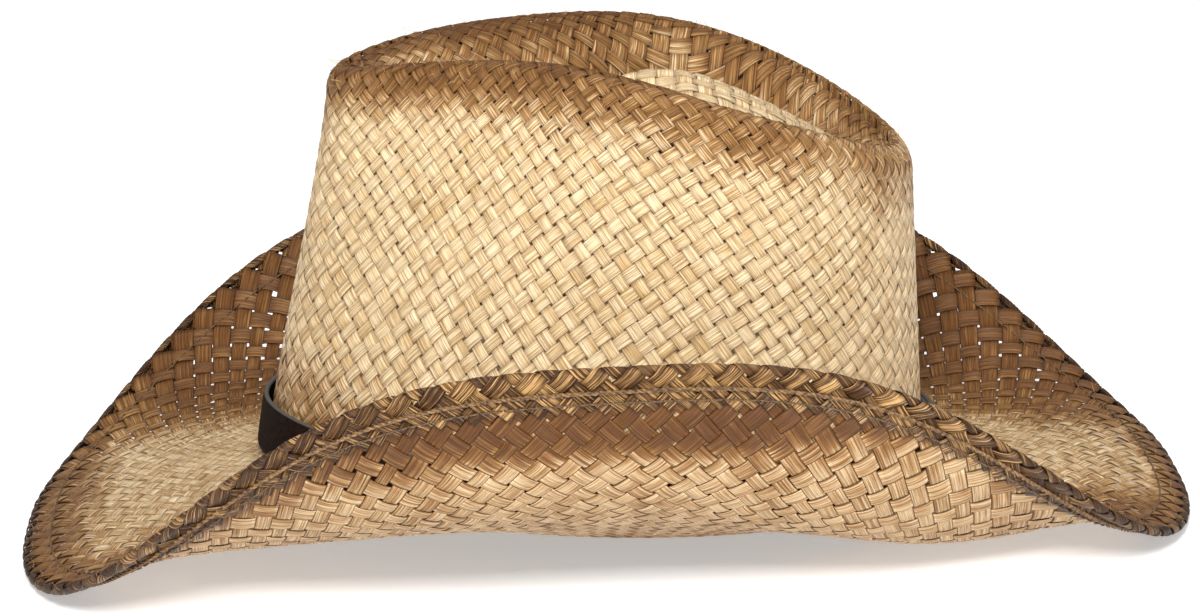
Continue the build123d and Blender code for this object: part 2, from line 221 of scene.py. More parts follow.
def lay_of_straws(surface, lay, number, start, end, outward, width, section=FLAT_SECTION, step=0.25):
    """One lay of flat straws, as (points, faces, marks), each straw a closed strip.

    A straw of lay 0 keeps the first lattice coordinate at number + 1/2 and runs from start to
    end along the second; lay 1 the other way about. Its height is the sine of its run, raised to
    a power so that it lies flat over and under each crossing, and its sign alternates with the
    straw's number, which is what makes the plait over one, under one.
    """
    count = np.maximum(2, np.round(np.abs(end - start) / step).astype(int) + 1)
    straw = np.repeat(np.arange(len(number)), count)
    place = np.arange(count.sum()) - np.repeat(np.cumsum(count) - count, count)
    run = start[straw] + (end - start)[straw] * place / (count[straw] - 1)
    wander = rng.uniform(0, 2 * np.pi, (3, len(number)))[:, straw]
    sway = 0.04 * np.sin(run / 1.9 + wander[0]) + 0.035 * np.sin(run / 4.7 + wander[1])
    swell = 1 + 0.09 * np.sin(run / 2.7 + wander[2]) + rng.normal(0, 0.05, len(number))[straw]
    centre = number[straw] + 0.5 + sway
    share = np.clip(width(centre, run) * swell, 0.5, 0.97)
    across = centre[:, None] + share[:, None] * section[None]
    along = np.broadcast_to(run[:, None], across.shape)

    def at(u, v):
        """Point across and along the straw, whichever lay it is in."""
        return surface(u, v) if lay == 0 else surface(v, u)

    small = 0.02
    middle = at(across, along)
    by_across = at(across + small, along) - at(across - small, along)
    by_along = at(across, along + small) - at(across, along - small)
    normal = np.cross(by_across, by_along) * (outward if lay == 0 else -outward)
    normal /= np.linalg.norm(normal, axis=-1, keepdims=True) + 1e-9
    wave = np.sin(np.pi * run)
    wave = np.sign(wave) * np.abs(wave) ** 0.6 * np.where(number[straw] % 2 == 0, 1, -1)
    wave = wave * (1 if lay == 0 else -1)
    row_width = np.linalg.norm(by_across[:, len(section) // 2], axis=-1) / (2 * small)
    wave_height = np.clip(WAVE_SHARE * row_width - WAVE_LESS, WAVE_LOW, WAVE_HIGH)
    lift = wave_height * wave * rng.uniform(0.85, 1.15, len(number))[straw]
    thick = STRAW_HALF_THICK * (1 - np.abs(2 * section) ** 8) * (1 + 0.15 * (section == 0))
    upper = middle + (lift[:, None] + thick[None])[..., None] * normal
    lower = middle + (lift[:, None] - thick[None])[..., None] * normal
    ring = np.concatenate([upper, lower[:, -2:0:-1]], 1)
    around = ring.shape[1]
    order = np.concatenate([np.arange(len(section)), np.arange(len(section) - 2, 0, -1)])
    go_on = np.flatnonzero(place < count[straw] - 1)
    k, after = np.arange(around), (np.arange(around) + 1) % around
    low, high = go_on[:, None] * around, (go_on[:, None] + 1) * around
    faces = np.stack([low + k, low + after, high + after, high + k], -1).reshape(-1, 4)
    first = np.flatnonzero(place == 0)[:, None] * around + k[::-1]
    last = np.flatnonzero(place == count[straw] - 1)[:, None] * around + k
    pace = np.linalg.norm(by_along[:, len(section) // 2], axis=-1) / (2 * small)
    length = run * np.mean(pace)
    # The lift and side marks feed the straw finish's painted shade, darker where a straw dips under and
    # near its edges.
    marks = {
        "tone": np.repeat(rng.uniform(0, 0.8, len(number))[straw] + 0.2 * lay, around),
        "lift": np.repeat(wave, around),
        "under": np.tile(np.arange(around) >= len(section), len(straw)).astype(float),
        "side": np.tile(np.abs(2 * section[order]) ** 7, len(straw)),
        "grain": np.stack(
            [
                np.repeat(length, around),
                (share[:, None] * section[order]).ravel() * np.mean(pace),
                np.repeat(straw + 100.0 * lay, around),
            ],
            -1,
        ),
    }
    return ring.reshape(-1, 3), [faces, first, last], marks


MM = 0.001


def put_in_place(name, points, faces, finish, body="hat", marks=None):
    """Mesh piece from points in millimetres, its faces turned outwards by the sign of its volume."""
    quads = faces[0]
    a, b, c = (points[quads[:, i]] for i in (0, 1, 2))
    volume = np.einsum("ij,ij->i", np.cross(a, b), c).sum()
    if quads.shape[1] == 4:
        d = points[quads[:, 3]]
        volume += np.einsum("ij,ij->i", np.cross(a, c), d).sum()
    turned = [f if volume > 0 else f[:, ::-1] for f in faces]
    mesh = bpy.data.meshes.new(name)
    mesh.from_pydata((points * MM).tolist(), [], [face for f in turned for face in f.tolist()])
    for mark, values in (marks or {}).items():
        kind, key = ("FLOAT_VECTOR", "vector") if np.ndim(values) == 2 else ("FLOAT", "value")
        layer = mesh.attributes.new(mark, kind, "POINT")
        layer.data.foreach_set(key, np.ascontiguousarray(values, np.float32).ravel())
    mesh.shade_smooth()
    mesh.materials.append(finish)
    piece = bpy.data.objects.new(name, mesh)
    bpy.context.scene.collection.objects.link(piece)
    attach(piece, body)
    return piece


class Finish:
    """A new material with its shader, and short ways to add the nodes that feed it."""

    def __init__(self, name, **fixed):
        self.material = bpy.data.materials.new(name)
        self.material.use_nodes = True
        self.tree = self.material.node_tree
        self.shader = self.tree.nodes["Principled BSDF"]
        for socket, value in fixed.items():
            self.shader.inputs[socket.replace("_", " ")].default_value = value

    def put(self, value, socket):
        """Link a socket, or set a plain value; None leaves the socket alone."""
        if isinstance(value, bpy.types.NodeSocket):
            self.tree.links.new(value, socket)
        elif value is not None:
            socket.default_value = value

    def mark(self, name, output="Fac"):
        """A value that the mesh carries at each point."""
        node = self.tree.nodes.new("ShaderNodeAttribute")
        node.attribute_name = name
        return node.outputs[output]

    def place(self):
        """Position in metres."""
        return self.tree.nodes.new("ShaderNodeTexCoord").outputs["Object"]

    def stretch(self, vector, scale):
        """The vector with each part multiplied by its own scale."""
        node = self.tree.nodes.new("ShaderNodeMapping")
        self.put(vector, node.inputs["Vector"])
        node.inputs["Scale"].default_value = scale
        return node.outputs["Vector"]

    def noise(self, vector, scale=1.0, detail=2.0, roughness=0.5):
        """Smooth noise about 0.5, scale cells to the unit."""
        node = self.tree.nodes.new("ShaderNodeTexNoise")
        self.put(vector, node.inputs["Vector"])
        node.inputs["Scale"].default_value = scale
        node.inputs["Detail"].default_value = detail
        node.inputs["Roughness"].default_value = roughness
        return node.outputs["Fac"]

    def sum_of(self, operation, a, b, c=None):
        """One piece of arithmetic on two or three values."""
        node = self.tree.nodes.new("ShaderNodeMath")
        node.operation = operation
        for value, socket in zip((a, b, c), node.inputs):
            self.put(value, socket)
        return node.outputs[0]

    def level(self, value, low, high, to_low=0.0, to_high=1.0):
        """The value drawn evenly from low..high to to_low..to_high, and held there past the ends."""
        node = self.tree.nodes.new("ShaderNodeMapRange")
        for given, socket in zip((value, low, high, to_low, to_high), node.inputs):
            self.put(given, socket)
        return node.outputs[0]

    def blend(self, share, a, b, how="MIX"):
        """Colour a where share is 0 and b where it is 1."""
        node = self.tree.nodes.new("ShaderNodeMix")
        node.data_type = "RGBA"
        node.blend_type = how
        for value, socket in ((share, 0), (a, 6), (b, 7)):
            self.put(value, node.inputs[socket])
        return node.outputs[2]

    def relief(self, height, distance, strength=1.0):
        """Fine relief, distance metres high, from a height of 0 to 1."""
        node = self.tree.nodes.new("ShaderNodeBump")
        node.inputs["Distance"].default_value = distance
        node.inputs["Strength"].default_value = strength
        self.put(height, node.inputs["Height"])
        self.put(node.outputs["Normal"], self.shader.inputs["Normal"])

    def colour(self, value):
        """The surface's colour."""
        self.put(value, self.shader.inputs["Base Color"])


def straw_finish(name, pale, golden, stained_and_shaded, brown, roughness, streak):
    """Split palm leaf: streaks along each straw, a tone for each straw, staining that carries some
    painted shade, and painted shade where straws dip under and at their edges.
    """
    finish = Finish(name, Roughness=roughness, Specular_IOR_Level=0.28)
    grain = finish.mark("grain", "Vector")
    leaf = finish.noise(finish.stretch(grain, (0.05, 1.3 + 0.5 * streak, 5.3)), 1.0, 3.0, 0.65)
    fibres = finish.noise(finish.stretch(grain, (0.06, 3.1, 2.1)), 1.0, 2.0, 0.6)
    patches = finish.noise(finish.stretch(grain, (0.11, 0.12, 3.7)), 1.0, 2.0)
    faded = finish.level(patches, 0.3, 0.7, 0.0, 0.7)
    tone = finish.sum_of("MULTIPLY_ADD", finish.mark("tone"), 0.35, faded)
    streaks = finish.level(leaf, 0.35, 0.65, -0.45 * streak, 0.45 * streak)
    tone = finish.sum_of("ADD", tone, streaks)
    base = finish.blend(finish.level(tone, 0.1, 1.4), (*pale, 1), (*golden, 1))
    cloud = finish.noise(finish.place(), 38.0, 3.0, 0.6)
    clouded = finish.level(cloud, 0.3, 0.7, -0.17, 0.17)
    # The mark read here holds real staining, with painted shade mixed in for the crown's crease and the
    # brim's upper face.
    stain = finish.sum_of("MULTIPLY_ADD", finish.mark("stain"), 1.2, clouded)
    soaked = finish.level(leaf, 0.35, 0.65, -0.24 * streak, 0.24 * streak)
    stain = finish.sum_of("ADD", stain, soaked)
    stain = finish.sum_of("ADD", stain, finish.level(patches, 0.35, 0.65, -0.12, 0.12))
    stain_and_shade_reach = finish.level(finish.mark("stain"), 0.0, 0.08)
    stain = finish.sum_of("MULTIPLY", finish.level(stain, 0.05, 1.1), stain_and_shade_reach)
    base = finish.blend(finish.level(stain, 0.0, 0.5), base, (*stained_and_shaded, 1))
    base = finish.blend(finish.level(stain, 0.35, 1.0), base, (*brown, 1))
    # Painted shade: the colour is multiplied towards a warm brown where a straw dips under its neighbour
    # (lift), near its edges (side) and along its fibre lines.
    lit = finish.level(finish.mark("lift"), -0.4, 0.75, 0.5, 1.0)
    lit = finish.sum_of("MULTIPLY", lit, finish.level(fibres, 0.36, 0.54, 0.35, 1.0))
    lit = finish.sum_of("MULTIPLY", lit, finish.level(finish.mark("side"), 0.1, 1.0, 1.0, 0.8))
    painted_weave_shade = finish.blend(lit, (0.3, 0.19, 0.1, 1), (1, 1, 1, 1))
    finish.colour(finish.blend(1.0, base, painted_weave_shade, "MULTIPLY"))
    rough = finish.sum_of("ADD", leaf, finish.sum_of("MULTIPLY", fibres, 0.6))
    finish.relief(rough, 0.0012, 0.8)
    return finish.material


straw = straw_finish(
    "palm_straw",
    pale=(0.96, 0.77, 0.49),
    golden=(0.68, 0.43, 0.17),
    stained_and_shaded=(0.47, 0.25, 0.08),
    brown=(0.17, 0.069, 0.016),
    roughness=0.45,
    streak=1.5,
)


def fade(distance, near, far):
    """1 up to near, 0 past far, with an easy slope between."""
    t = np.clip((far - distance) / (far - near), 0, 1)
    return t * t * (3 - 2 * t)


def crown_stain_and_shade(points):
    """Brown staining along the ridge, fading into the wall and the crease, and again at the band; the
    crease's walls are browned more as painted shade.
    """
    x, y, z = points.T
    angle = np.arctan2(y, x - CROWN_AXIS_X)
    r = np.hypot(x - CROWN_AXIS_X, y)
    ridge = ridge_radius(angle)
    top = ridge_height(CROWN_AXIS_X + ridge * np.cos(angle))
    down = np.hypot(np.maximum(ridge - 5 - r, 0), np.maximum(top - z, 0))
    patch = 1 + 0.35 * np.sin(3 * angle + 0.6) + 0.2 * np.sin(7 * angle)
    on_top = np.clip((ridge - 4 - r) / 3, 0, 1)
    at_ridge = (0.62 - 0.16 * np.cos(angle) + 0.2 * on_top) * fade(down, 1, 15 + 12 * patch)
    share = r / (ridge - RIDGE_ROUND)
    # Painted shade: the walls of the crease, from just inside its lowest line out to the ridge, are
    # browned as in shade.
    inside = 0.55 * fade(crease_share(angle) - share, -0.05, 0.12) * (r < ridge - 4)
    above_foot = z - break_height(x)
    at_foot = 0.45 * fade(above_foot, 20, 42 - 4 * np.cos(angle))
    return np.clip(np.maximum(np.maximum(at_ridge, inside), at_foot), 0, 1)


def crown_from_lattice(p, q):
    """The top's lattice runs corner to corner of the square."""
    return crown_top((p + q) / (2 * ROWS_PER_UNIT), (p - q) / (2 * ROWS_PER_UNIT))


def crown_side_from_lattice(p, q):
    """The sides' lattice: the difference of its coordinates goes round, their sum goes down."""
    return crown_side((p - q) / (2 * ROWS_PER_UNIT), (p + q) / (2 * ROWS_PER_UNIT))


def plaited(p, q):
    """Share of its row that each crown straw fills."""
    return np.full(np.shape(p), 0.89)


# Top: each straw crosses the square from one edge to another, and is tucked under at both ends.
top_rows = np.arange(-2 * ROWS_PER_UNIT, 2 * ROWS_PER_UNIT)
line = (top_rows + 0.5) / ROWS_PER_UNIT
half_row = 0.5 / ROWS_PER_UNIT
# Lay 0 keeps a + b; it leaves by an edge of a, just at it, and by an edge of b, half a row past.
a_end = np.sign(line)
b_end = np.sign(line) * (1 + half_row)
starts = ROWS_PER_UNIT * (2 * a_end - line)
ends = ROWS_PER_UNIT * (line - 2 * b_end)
points, faces, marks = lay_of_straws(crown_from_lattice, 0, top_rows, starts, ends, -1, plaited)
marks["stain"] = crown_stain_and_shade(points)
put_in_place("crown_top_lay_0", points, faces, straw, marks=marks)
# Lay 1 keeps a - b; it leaves by an edge of a, half a row past, and by an edge of b, just at it.
a_end = np.sign(line) * (1 + half_row)
b_end = -np.sign(line)
starts = ROWS_PER_UNIT * (2 * a_end - line)
ends = ROWS_PER_UNIT * (line + 2 * b_end)
points, faces, marks = lay_of_straws(crown_from_lattice, 1, top_rows, starts, ends, -1, plaited)
marks["stain"] = crown_stain_and_shade(points)
put_in_place("crown_top_lay_1", points, faces, straw, marks=marks)

# Sides: the same straws go on down at a slant, lay 0 one way round and lay 1 the other.
side_rows = np.arange(0, 8 * ROWS_PER_UNIT)
BELOW_BREAK = -2.7  # the straws stop this far short of the break, on the brim's first row


def foot_of(lay, row):
    """How far down each straw goes before it has run the whole wall of the angle it is at."""
    down = np.linspace(0.5, 2.2, 600)[None]
    line = (row[:, None] + 0.5) / ROWS_PER_UNIT
    round_ = line - down if lay == 0 else down - line
    left = depth_below_ridge(down) - ROUNDING_RUN - wall_length(crown_side_angle(round_, down))
    return down[0][np.argmax(left > BELOW_BREAK, axis=1)]


for lay, first_down in ((0, 0.0), (1, half_row)):
    line = (side_rows + 0.5) / ROWS_PER_UNIT
    starts = ROWS_PER_UNIT * (2 * first_down - line)
    ends = ROWS_PER_UNIT * (2 * foot_of(lay, side_rows) - line)
    weave = lay_of_straws(crown_side_from_lattice, lay, side_rows, starts, ends, -1, plaited)
    points, faces, marks = weave
    marks["stain"] = crown_stain_and_shade(points)
    side = put_in_place(f"crown_side_lay_{lay}", points, faces, straw, marks=marks)
    if lay == 0:
        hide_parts("crown_shell")

# ---------------------------------------------------------------------------------------------
# Brim. The crown's straws run on outwards with others let in between them, so the plait is wider
# towards the edge and shows small holes. It is pressed and wired up at both sides.
# ---------------------------------------------------------------------------------------------
EDGE_A, EDGE_B, SQUARENESS = 185.0, 144.4, 2.77
EDGE_LOW, SIDE_RISE, SIDE_RISE_SKEW = 2.2, 78.2, 5.2
ROLL_FLATNESS, ROLL_POWER, ROLL_POWER_SKEW = 3.18, 1.72, 0.37
START_FRONT, START_BACKWARD, START_SIDES = -4, 8, 28  # slope at the break, in degrees
END_DIP, END_ROLLED = -22, 104  # slope at the edge, and what is added where it is rolled up
PULL_AT_START, PULL_AT_END = 0.38, 0.44
SIDE_SAG, SIDE_SAG_BACKWARD, QUARTER_SAG, QUARTER_SAG_BACKWARD = 2, 0.8, 6, 0.6
BRIM_WIDTH = 90.0  # about; the true width is worked out at each turn
BRIM_ROWS, BRIM_CROSSINGS = 116, 26.5
BRIM_OPENS = 0.8  # how much wider a row is at the edge than at the break, as a share
TUCK_ROWS, TUCK_IN = 1, 0.9  # the straws begin up inside the crown, this far inside its wall
EDGE_STOP = 3.1  # the straws are turned into the hem this far short of the edge


def edge_radius(angle):
    """Plan of the edge: a squared ellipse."""
    c, s = np.abs(np.cos(angle)) / EDGE_A, np.abs(np.sin(angle)) / EDGE_B
    return (c**SQUARENESS + s**SQUARENESS) ** (-1 / SQUARENESS)


def brim_profile(angle, s):
    """Middle of the brim from the break at 0 to the edge at 1, as (distance from axis, height).

    A cubic that leaves the break and meets the edge at slopes that depend on the turn, less a
    squared-sine sag. The edge's height is a power of how far round from the dips it is.
    """
    sine, cosine = np.sin(angle), np.cos(angle)
    edge_r = edge_radius(angle)
    along = np.minimum(1, edge_r * np.abs(cosine) / EDGE_A)
    rolled = np.maximum(0, 1 - along**ROLL_FLATNESS) ** (ROLL_POWER - ROLL_POWER_SKEW * sine)
    edge_z = EDGE_LOW + (SIDE_RISE - SIDE_RISE_SKEW * sine) * rolled
    inner_r = head_oval(angle, 0)
    inner_z = break_height(inner_r * cosine)
    start = np.radians(START_FRONT + START_BACKWARD * cosine + START_SIDES * sine**2)
    end = np.radians(END_DIP + END_ROLLED * rolled * (1 - SIDE_RISE_SKEW / SIDE_RISE * sine))
    chord = np.hypot(edge_r - inner_r, edge_z - inner_z)
    near, far = PULL_AT_START * chord, PULL_AT_END * chord
    first = (inner_r + near * np.cos(start), inner_z + near * np.sin(start))
    last = (edge_r - far * np.cos(end), edge_z - far * np.sin(end))
    r, z = cubic(((inner_r, inner_z), first, last, (edge_r, edge_z)), s)
    sag = SIDE_SAG * np.abs(sine) * (1 + SIDE_SAG_BACKWARD * cosine)
    sag = sag + QUARTER_SAG * np.sin(2 * angle) ** 2 * (1 + QUARTER_SAG_BACKWARD * cosine)
    return r, z - sag * np.sin(np.pi * s) ** 2


def share_in(angle, inward):
    """Share of the brim's profile that ends inward millimetres from the edge, by three trials."""
    s = 1 - inward / BRIM_WIDTH
    for _ in range(3):
        steps = s[..., None] + (1 - s)[..., None] * np.linspace(0, 1, 7)
        r, z = brim_profile(angle[..., None], steps)
        length = np.hypot(np.diff(r), np.diff(z)).sum(-1)
        s = 1 - (1 - s) * inward / np.maximum(length, 1e-6)
    return s


def near_edge(angle, inward, height):
    """Point this far in from the edge along the brim and this far above its middle."""
    s = share_in(angle, inward)
    r, z = brim_profile(angle, s)
    r0, z0 = brim_profile(angle, s - 1e-3)
    r1, z1 = brim_profile(angle, s + 1e-3)
    length = np.hypot(r1 - r0, z1 - z0)
    r, z = r - height * (z1 - z0) / length, z + height * (r1 - r0) / length
    return np.stack([r * np.cos(angle), r * np.sin(angle), z], -1)


break_turn = even_angles(lambda angle: head_oval(angle, 0))
edge_turn = even_angles(edge_radius)
stop_turn = np.linspace(0, 2 * np.pi, 721)
stop_share = share_in(stop_turn, np.full(721, EDGE_STOP))


def brim_turn(p, q):
    """Turn and share of the way out, which grows by equal ratios so that the cells stay square."""
    share_round = (p + q) / (2 * BRIM_ROWS)
    out = (np.power(1 + BRIM_OPENS, np.clip((p - q) / BRIM_CROSSINGS, -1, 2)) - 1) / BRIM_OPENS
    kept = np.clip(out, 0, 1)
    return (1 - kept) * break_turn(share_round) + kept * edge_turn(share_round), out


def brim_from_lattice(p, q):
    """Point on the brim; before the break the straws turn up inside the crown, easing in."""
    angle, out = brim_turn(p, q)
    stop = np.interp(np.mod(angle, 2 * np.pi), stop_turn, stop_share)
    r, z = brim_profile(angle, np.clip(out, 0, 1.02) * stop)
    tucked = BRIM_WIDTH * np.maximum(-out, 0)
    r, z = r - TUCK_IN * (1 - np.exp(-tucked)), z + tucked
    return np.stack([r * np.cos(angle), r * np.sin(angle), z], -1)


def opening(across, run):
    """Straws are no wider than the leaf they are split from, so gaps open towards the edge."""
    out = np.abs(across - run) / BRIM_CROSSINGS
    return np.minimum(0.93, 0.98 - 0.14 * out)


def brim_stain_and_shade(points, under):
    """Staining dark at the edge and fading inwards; the broad darkening of the upper face of the rolled
    sides and the back is partly staining and partly painted shade.
    """
    x, y, z = points.T
    angle = np.arctan2(y, x)
    inner, edge = head_oval(angle, 0), edge_radius(angle)
    in_plan = edge - np.hypot(x, y)
    front, backward = np.clip(-np.cos(angle), 0, 1), np.clip(np.cos(angle), 0, 1)
    rise = np.clip((np.abs(np.sin(angle)) - 0.3 + 0.15 * backward + 0.08 * front) / 0.32, 0, 1)
    steepness = 1 + 0.6 * rise
    e = in_plan * steepness
    patch = 1 + 0.3 * np.sin(5 * angle + 1) + 0.25 * np.sin(11 * angle)
    strength = 0.85 - 0.15 * front**6 - 0.2 * under * (1 - front)
    rim = strength * fade(e, 1 + 7 * front, 11 + 9 * patch + 24 * front**1.5)
    # Painted shade mixed with staining: the broad darkening of the upper face on the rolled sides and at
    # the back, where that face is turned from the light.
    upper = 0.95 * fade(in_plan, 4 + 40 * front, 95) * rise + 0.3 * fade(in_plan, 20, 90) * backward
    foot = 0.35 * fade(np.hypot(x, y) - inner, 1, 14)
    turned = fade(in_plan, 3, 9)
    return np.clip(np.max([rim, (1 - under) * upper, foot, turned], axis=0), 0.15, 1)


brim_rows = np.arange(0, BRIM_ROWS)
for lay in (0, 1):
    sign = 1 if lay else -1
    starts = brim_rows + 0.5 - sign * TUCK_ROWS
    ends = brim_rows + 0.5 + sign * BRIM_CROSSINGS
    weave = lay_of_straws(
        brim_from_lattice, lay, brim_rows, starts, ends, 1, opening, FLAT_SECTION, 0.3
    )
    points, faces, marks = weave
    marks["stain"] = brim_stain_and_shade(points, marks["under"])
    brim = put_in_place(f"brim_lay_{lay}", points, faces, straw, marks=marks)
    if lay == 0:
        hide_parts("brim_shell")

# ---------------------------------------------------------------------------------------------
# Edge wire. A loop of drawn spring steel, butted inside a crimped aluminium sleeve at the back.
# Both are out of sight in the hem and keep their CAD shapes.
# ---------------------------------------------------------------------------------------------


def metal_finish(name, colour, dull, roughness, scale):
    """Drawn metal: fine scratches and dull patches."""
    metal = Finish(name, Metallic=1.0, Roughness=roughness)
    patches = metal.noise(metal.place(), scale, 4.0, 0.6)
    metal.colour(metal.blend(metal.level(patches, 0.35, 0.65), (*colour, 1), (*dull, 1)))
    metal.relief(metal.noise(metal.place(), scale * 8, 2.0), 0.0001, 0.3)
    return metal.material


def refinish(node, finish):
    """A CAD piece that keeps its shape gets a better finish."""
    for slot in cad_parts[node].material_slots:
        slot.material = finish


refinish("brim_wire", metal_finish("spring_steel", (0.5, 0.5, 0.52), (0.3, 0.29, 0.28), 0.35, 300))
refinish("wire_splice", metal_finish("sleeve", (0.78, 0.78, 0.8), (0.55, 0.55, 0.56), 0.4, 400))

# ---------------------------------------------------------------------------------------------
# Hem. The last rows of the plait, stained dark, folded down over the wire and laid back against
# the underside of the brim.
# ---------------------------------------------------------------------------------------------
NOSE_R = 1.25  # middle of the folded straw, round the wire
HEM_WIDTH = 12.5
HEM_GAP = 1.5  # the hem lies this far below the middle of the brim
NOSE_IN = 1.9  # the fold begins and ends this far in from the edge
EDGE_PERIMETER = 1060.0  # paces the rows, the cord's lay and the stitches; the edge is longer
FLAT_RUN = EDGE_STOP - NOSE_IN
NOSE_RUN = np.pi * NOSE_R
HEM_CROSSINGS = (FLAT_RUN + NOSE_RUN + HEM_WIDTH - NOSE_IN) * 2 * BRIM_ROWS / EDGE_PERIMETER


def hem_profile(run):
    """Path of the fold: flat, half a turn about the wire, then easing up against the brim."""
    turn = np.clip((run - FLAT_RUN) / NOSE_R, 0, np.pi)
    back = np.maximum(run - FLAT_RUN - NOSE_RUN, 0)
    inward = EDGE_STOP - np.clip(run, 0, FLAT_RUN) - NOSE_R * np.sin(turn) + back
    ease = np.clip(back / 4, 0, 1)
    height = NOSE_R * (np.cos(turn) - 1)
    return inward, height + (2 * NOSE_R - HEM_GAP) * ease * ease * (3 - 2 * ease)


def hem_from_lattice(p, q):
    """The brim's lattice carried on past its last crossing, along the path of the fold."""
    angle, _ = brim_turn(p, q)
    run = (p - q - BRIM_CROSSINGS) * EDGE_PERIMETER / (2 * BRIM_ROWS)
    inward, height = hem_profile(np.maximum(run, 0))
    return near_edge(angle, inward, height)


def hem_close(across, run):
    """Share of its row that each hem straw fills."""
    return np.full(np.shape(run), 0.86)


dark_straw = straw_finish(
    "hem_straw",
    pale=(0.62, 0.38, 0.15),
    golden=(0.24, 0.115, 0.035),
    stained_and_shaded=(0.14, 0.06, 0.017),
    brown=(0.04, 0.015, 0.004),
    roughness=0.33,
    streak=2.6,
)
HEM_SECTION = np.array([-0.5, -0.44, -0.33, -0.18, 0.0, 0.18, 0.33, 0.44, 0.5])
for lay in (0, 1):
    sign = 1 if lay else -1
    starts = brim_rows + 0.5 + sign * BRIM_CROSSINGS
    ends = starts + sign * HEM_CROSSINGS
    weave = lay_of_straws(
        hem_from_lattice, lay, brim_rows, starts, ends, 1, hem_close, HEM_SECTION, 0.125
    )
    points, faces, marks = weave
    at_tips = np.abs(points[:, 0]) / EDGE_A
    marks["stain"] = 0.3 + 0.3 * np.sin(marks["grain"][:, 2] * 1.7) ** 2 + 0.45 * at_tips**3
    hem = put_in_place(f"hem_lay_{lay}", points, faces, dark_straw, marks=marks)
    if lay == 0:
        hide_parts("brim_hem")

# ---------------------------------------------------------------------------------------------
# Hem cord and stitching. A two-strand straw cord is laid over the hem, and one row of dark thread
# holds the hem down, its stitches showing below and above the brim.
# ---------------------------------------------------------------------------------------------
CORD_IN, CORD_BELOW, CORD_LAY = 7.5, 2.55, 3.6


def ring_faces(rings, sides, closed):
    """Faces that join each ring of points to the next, with a cap at each end of an open run."""
    low = np.arange(rings if closed else rings - 1)
    high = (low + 1) % rings
    k = np.arange(sides)
    after = (k + 1) % sides
    low, high = low[:, None] * sides, high[:, None] * sides
    walls = np.stack([low + k, low + after, high + after, high + k], -1).reshape(-1, 4)
    if closed:
        return [walls]
    return [walls, k[None, ::-1], (rings - 1) * sides + k[None]]


def tube_along(centres, radius, sides=6, closed=True):
    """Round section carried along a path: rings square to the path, joined end to end."""
    ahead = np.roll(centres, -1, 0) - np.roll(centres, 1, 0)
    if not closed:
        ahead[0], ahead[-1] = centres[1] - centres[0], centres[-1] - centres[-2]
    ahead /= np.linalg.norm(ahead, axis=1, keepdims=True)
    side = np.cross(ahead, (0.0, 0.0, 1.0))
    side /= np.linalg.norm(side, axis=1, keepdims=True) + 1e-9
    other = np.cross(side, ahead)
    turn = np.linspace(0, 2 * np.pi, sides, endpoint=False)
    radius = np.broadcast_to(radius, len(centres))[:, None, None]
    round_ = side[:, None] * np.cos(turn)[:, None] + other[:, None] * np.sin(turn)[:, None]
    points = (centres[:, None] + radius * round_).reshape(-1, 3)
    return points, ring_faces(len(centres), sides, closed)


def joined(parts):
    """Several (points, faces) as one, the faces of each counted on past the points before."""
    points = np.concatenate([own for own, _ in parts])
    before = np.cumsum([0] + [len(own) for own, _ in parts[:-1]])
    moved = [group + first for (_, faces), first in zip(parts, before) for group in faces]
    corners = sorted({group.shape[1] for group in moved})
    return points, [np.concatenate([g for g in moved if g.shape[1] == many]) for many in corners]


def twisted(path, turns, samples, strand_r, wound_r):
    """Two strands wound about a closed path; path(share, inward, up) gives the moved point."""
    share = np.linspace(0, 1, samples, endpoint=False)
    parts = []
    for start in (0, np.pi):
        turn = 2 * np.pi * turns * share + start
        centres = path(share, wound_r * np.cos(turn), wound_r * np.sin(turn))
        parts.append(tube_along(centres, strand_r))
    return joined(parts)


def cord_path(share, inward, up):
    """Middle of the cord under the hem, moved in and up by its strands' winding."""
    return near_edge(edge_turn(share), CORD_IN + inward, -CORD_BELOW + up)


STRAND_R, WOUND_R = 0.42, 0.34
cord_turns = round((EDGE_PERIMETER - 40) / CORD_LAY)
points, faces = twisted(cord_path, cord_turns, cord_turns * 10, STRAND_R, WOUND_R)
cord_finish = Finish("straw_cord", Roughness=0.55)
strands = cord_finish.noise(cord_finish.place(), 900, 3.0)
sunk = cord_finish.level(strands, 0.35, 0.65)
cord_finish.colour(cord_finish.blend(sunk, (0.27, 0.145, 0.05, 1), (0.05, 0.022, 0.008, 1)))
cord_finish.relief(strands, 0.0003, 0.6)
cord = put_in_place("hem_cord_twisted", points, faces, cord_finish.material)
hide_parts("hem_cord")

STITCH, HALF_STITCH = 3.4, 0.0016  # the second as a share of the way round
THREAD_R = 0.3
UNDER_IN, UPPER_IN = 11.0, 10.6  # how far in from the edge each face of the row lies
UNDER_REST, UPPER_REST, DIVE = 2.35, 0.75, 1.3


def stitches(path, count, rest, bury):
    """A thread that lies on the straw for most of a stitch and dives between stitches."""
    share = np.linspace(0, 1, count * 10, endpoint=False)
    dive = np.abs(np.sin(np.pi * share * count)) ** 0.45
    return tube_along(path(share, rest - bury * (1 - dive)), THREAD_R)


def under_row(share, out):
    """The row as it shows below the brim, near the hem's inner edge."""
    return near_edge(edge_turn(share), np.full(share.shape, UNDER_IN), -out)


def upper_row(share, out):
    """The same row as it shows above the brim, half a stitch on."""
    return near_edge(edge_turn(share + HALF_STITCH), np.full(share.shape, UPPER_IN), out)


